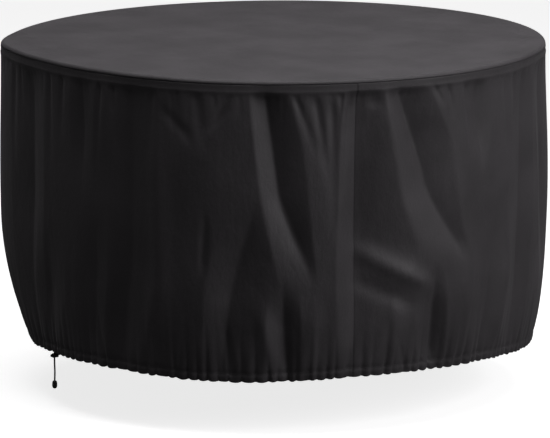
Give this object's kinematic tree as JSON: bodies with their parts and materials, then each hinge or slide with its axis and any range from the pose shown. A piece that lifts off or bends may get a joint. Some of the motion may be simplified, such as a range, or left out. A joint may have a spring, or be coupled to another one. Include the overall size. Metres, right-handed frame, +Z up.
{
  "type": "patio furniture cover",
  "caption": "Round fitted cover for patio furniture: a flat top, a long skirt hanging in folds, and a gathered hem with a drawcord, cord lock and stopper.",
  "frame": {"origin": "middle of the top panel's underside, where the cover lies on the table top", "axes": "+Z up, out of the top panel; -Y the front, the side shown; +X to the right as seen from the front"},
  "size_m": [1.2877, 1.2651, 0.7807],
  "materials": {
    "cover_cloth": "dark charcoal coated oxford weave, satin",
    "drawcord": "black braided cord",
    "lock_plastic": "black moulded plastic, satin"
  },
  "bodies": {
    "cover": {"top_panel": "cover_cloth", "skirt_panel": "cover_cloth", "drawcord_end": "drawcord", "lock_barrel": "lock_plastic", "cord_stopper": "lock_plastic"},
    "plunger": {"lock_plunger": "lock_plastic"}
  },
  "joints": [
    {"name": "plunger_press", "type": "slide", "parent": "cover", "child": "plunger", "axis": [0.8813, 0.4726, 0], "range_m": [0, 0.003], "stiffness_N_per_m": 300, "springref_m": -0.002}
  ]
}
